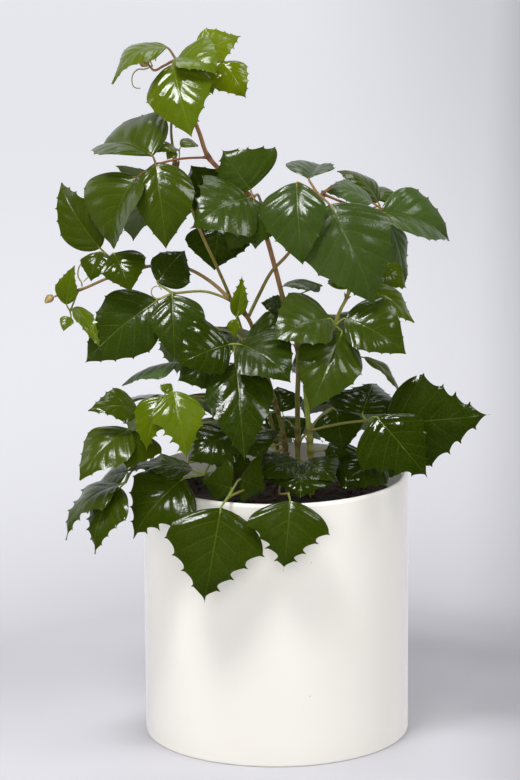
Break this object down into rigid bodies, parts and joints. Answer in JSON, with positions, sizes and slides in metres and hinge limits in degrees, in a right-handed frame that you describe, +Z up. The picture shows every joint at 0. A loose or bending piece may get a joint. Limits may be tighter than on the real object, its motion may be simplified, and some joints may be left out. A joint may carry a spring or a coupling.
{
  "type": "potted grape ivy",
  "caption": "Climbing grape ivy with glossy toothed three-part leaves on thin vines with tendrils, rooted in soil in a straight-sided cream ceramic pot.",
  "frame": {"origin": "centre of the pot's flat underside, on the surface it stands on", "axes": "+Z up along the pot's axis, -Y towards the side where the low leaves hang over the rim, +X to the right as seen from that side"},
  "size_m": [0.2624, 0.2133, 0.427],
  "materials": {
    "pot_glaze": "smooth cream-white gloss glaze",
    "potting_soil": "dark brown crumbly matte potting mix",
    "bark": "smooth reddish-brown young bark with darker nodes",
    "green_bark": "smooth olive-green young bark",
    "old_leaf": "dark green, waxy and glossy, quilted between the veins",
    "young_leaf": "fresh yellow-green, soft gloss",
    "tendril": "pale olive, smooth",
    "bud": "tan-brown, matte, finely hairy"
  },
  "bodies": {
    "root": {"pot": "pot_glaze", "soil": "potting_soil", "crown_vine": "bark", "left_vine": "bark", "olive_vine": "bark", "right_vine": "bark", "green_stem": "green_bark", "crown_leaf": "young_leaf", "crown_young_leaf": "young_leaf", "upper_left_leaf": "old_leaf", "left_leaf": "old_leaf", "left_young_leaf": "young_leaf", "mid_left_leaf": "old_leaf", "twig_leaf": "young_leaf", "centre_top_leaf": "old_leaf", "back_top_leaf": "old_leaf", "upper_right_leaf": "old_leaf", "far_right_leaf": "old_leaf", "far_right_back_leaf": "old_leaf", "right_back_leaf": "old_leaf", "right_leaf": "old_leaf", "right_young_leaf": "young_leaf", "right_drop_leaf": "old_leaf", "front_leaf": "old_leaf", "front_back_leaf": "old_leaf", "young_centre_leaf": "young_leaf", "grey_leaf": "old_leaf", "centre_small_leaf": "old_leaf", "silver_leaf": "old_leaf", "low_left_leaf": "old_leaf", "low_left_young_leaf": "young_leaf", "left_rim_leaf": "old_leaf", "rim_inner_leaf": "old_leaf", "front_rim_leaf": "old_leaf", "front_rim_right_leaf": "old_leaf", "inner_front_leaf": "old_leaf", "low_right_leaf": "old_leaf", "low_right_inner_leaf": "old_leaf", "right_rim_leaf": "old_leaf", "centre_low_leaf": "old_leaf", "stem_back_leaf": "old_leaf", "back_rim_leaf": "old_leaf", "back_right_leaf": "old_leaf", "back_left_leaf": "old_leaf", "back_mid_left_leaf": "old_leaf", "back_mid_right_leaf": "old_leaf", "back_top_left_leaf": "old_leaf", "back_top_right_leaf": "old_leaf", "back_centre_leaf": "old_leaf", "crown_tendril": "tendril", "crown_hook_tendril": "tendril", "left_loop_tendril": "tendril", "mid_left_tendril": "tendril", "crown_bud": "bud", "left_bud": "bud"}
  },
  "joints": []
}
